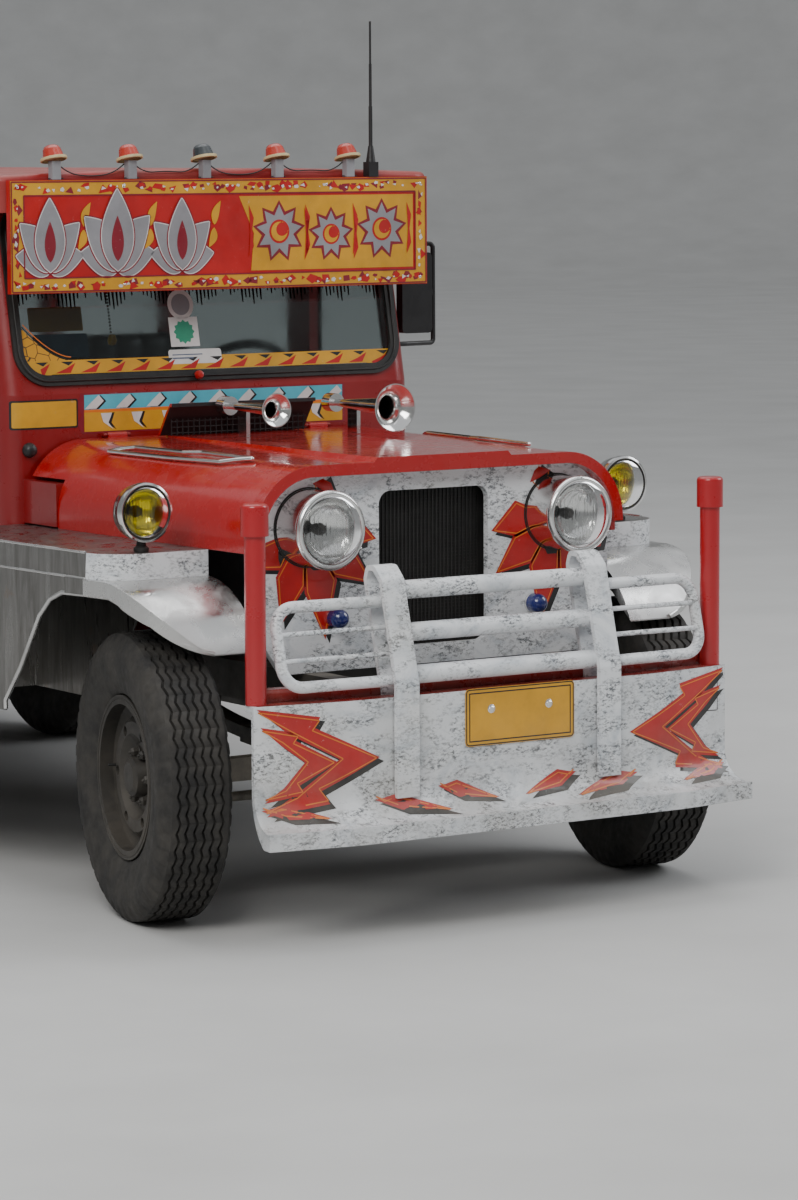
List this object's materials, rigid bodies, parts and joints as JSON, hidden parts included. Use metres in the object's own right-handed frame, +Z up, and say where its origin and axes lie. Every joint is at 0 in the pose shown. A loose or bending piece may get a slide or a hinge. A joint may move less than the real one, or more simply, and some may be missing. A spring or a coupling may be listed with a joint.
{
  "type": "jeepney",
  "caption": "Long-bodied red passenger jeepney with open bench seating, steel fenders, and a marbled white bull bar, grille panel and bumper.",
  "frame": {"origin": "on the ground, at the centre of the overall box in plan", "axes": "+Z up, -Y towards the nose, +X towards the vehicle's left side"},
  "size_m": [1.89, 5.95, 2.3283],
  "materials": {
    "chassis": "satin black paint, dusty",
    "engine": "raw casting",
    "radiator": "matt black",
    "exhaust": "dull, rusting",
    "bumper_paint": "white marbled paint with angular shapes, chipped",
    "panel_paint": "white marbled paint with angular shapes",
    "stainless": "polished sheet, weathered",
    "bar_paint": "white marbled paint over steel tube",
    "chrome": "polished",
    "red_paint": "gloss",
    "cowl_paint": "gloss, slightly faded",
    "gasket": "matt",
    "glass": "clear",
    "lamp_glass": "bright bucket behind a glass lens",
    "dash": "matt black",
    "sign_paint": "sign-writer's enamel, blank",
    "roof_paint": "faded red paint",
    "amber_lens": "moulded orange-red lens",
    "blue_lens": "moulded lens",
    "red_lens": "moulded lens",
    "body_paint": "gloss, dusty",
    "floor_plate": "tread plate",
    "seat_boards": "painted board",
    "cushion": "vinyl cover",
    "mirror_shell": "black shell",
    "wheel_grip": "hard black grip",
    "tyre": "worn tread",
    "rim": "dusty silver paint"
  },
  "bodies": {
    "body": {"antenna": "gasket", "bench_cushions": "cushion", "bull_bar": "bar_paint", "bumper_posts": "red_paint", "cab_controls": "dash", "chassis_frame": "chassis", "cowl": "cowl_paint", "dashboard": "dash", "engine_block": "engine", "exhaust": "exhaust", "fenders": "stainless", "floor": "floor_plate", "fog_lamps": "lamp_glass", "front_axle": "chassis", "front_bumper": "bumper_paint", "front_seats": "cushion", "fuel_tank": "chassis", "grab_rails": "stainless", "grille_panel": "panel_paint", "headlamps": "lamp_glass", "leaf_springs": "chassis", "mirrors": "mirror_shell", "prop_shaft": "chassis", "radiator": "radiator", "rear_axle": "chassis", "rear_frame": "body_paint", "roof": "roof_paint", "roof_lamps": "amber_lens", "seat_boxes": "seat_boards", "side_panels": "body_paint", "sign_board": "sign_paint", "steering_column": "dash", "steps": "chassis", "tail_lamps": "red_lens", "turn_lamps": "blue_lens", "windscreen_gasket": "gasket", "windscreen_glass": "glass"},
    "hood": {"hood": "red_paint", "hood_trim": "chrome", "hood_vent": "red_paint", "horns": "chrome"},
    "knuckle_left": {"knuckle_left": "chassis"},
    "knuckle_right": {"knuckle_right": "chassis"},
    "tie_rod": {"tie_rod": "chassis"},
    "steering_wheel": {"steering_wheel": "wheel_grip"},
    "wheel_front_left": {"tyre_front_left": "tyre", "rim_front_left": "rim"},
    "wheel_front_right": {"tyre_front_right": "tyre", "rim_front_right": "rim"},
    "wheel_rear_left": {"tyre_rear_left": "tyre", "rim_rear_left": "rim"},
    "wheel_rear_right": {"tyre_rear_right": "tyre", "rim_rear_right": "rim"}
  },
  "joints": [
    {"name": "hood_hinge", "type": "hinge", "parent": "body", "child": "hood", "pos_m": [0, -1.46, 1.183], "axis": [-1, 0, 0], "range_deg": [0, 50]},
    {"name": "steer_left", "type": "hinge", "parent": "body", "child": "knuckle_left", "pos_m": [0.65, -2.375, 0.3725], "axis": [0, 0, 1], "range_deg": [-21, 43]},
    {"name": "steer_right", "type": "hinge", "parent": "body", "child": "knuckle_right", "pos_m": [-0.65, -2.375, 0.3725], "axis": [0, 0, 1], "range_deg": [-21, 43]},
    {"name": "tie_rod_slide", "type": "slide", "parent": "body", "child": "tie_rod", "axis": [1, 0, 0], "range_m": [-0.105, 0.055]},
    {"name": "steering_wheel_turn", "type": "hinge", "parent": "body", "child": "steering_wheel", "pos_m": [0.37, -0.895, 1.235], "axis": [0, 0.788, 0.6157], "range_deg": [-270, 530]},
    {"name": "wheel_front_left_spin", "type": "hinge", "parent": "knuckle_left", "child": "wheel_front_left", "pos_m": [0.74816, -2.39408, 0.3725], "axis": [0.9816, -0.1908, 0], "continuous": true},
    {"name": "wheel_rear_left_spin", "type": "hinge", "parent": "body", "child": "wheel_rear_left", "pos_m": [0.75, 0.825, 0.3725], "axis": [1, 0, 0], "continuous": true},
    {"name": "wheel_front_right_spin", "type": "hinge", "parent": "knuckle_right", "child": "wheel_front_right", "pos_m": [-0.74816, -2.35592, 0.3725], "axis": [0.9816, -0.1908, 0], "continuous": true},
    {"name": "wheel_rear_right_spin", "type": "hinge", "parent": "body", "child": "wheel_rear_right", "pos_m": [-0.75, 0.825, 0.3725], "axis": [1, 0, 0], "continuous": true}
  ],
  "couplings": [
    {"joint": "steer_right", "follows": "steer_left", "ratio": 1},
    {"joint": "tie_rod_slide", "follows": "steer_left", "m_per_rad": -0.1328},
    {"joint": "steering_wheel_turn", "follows": "steer_left", "ratio": 12}
  ]
}
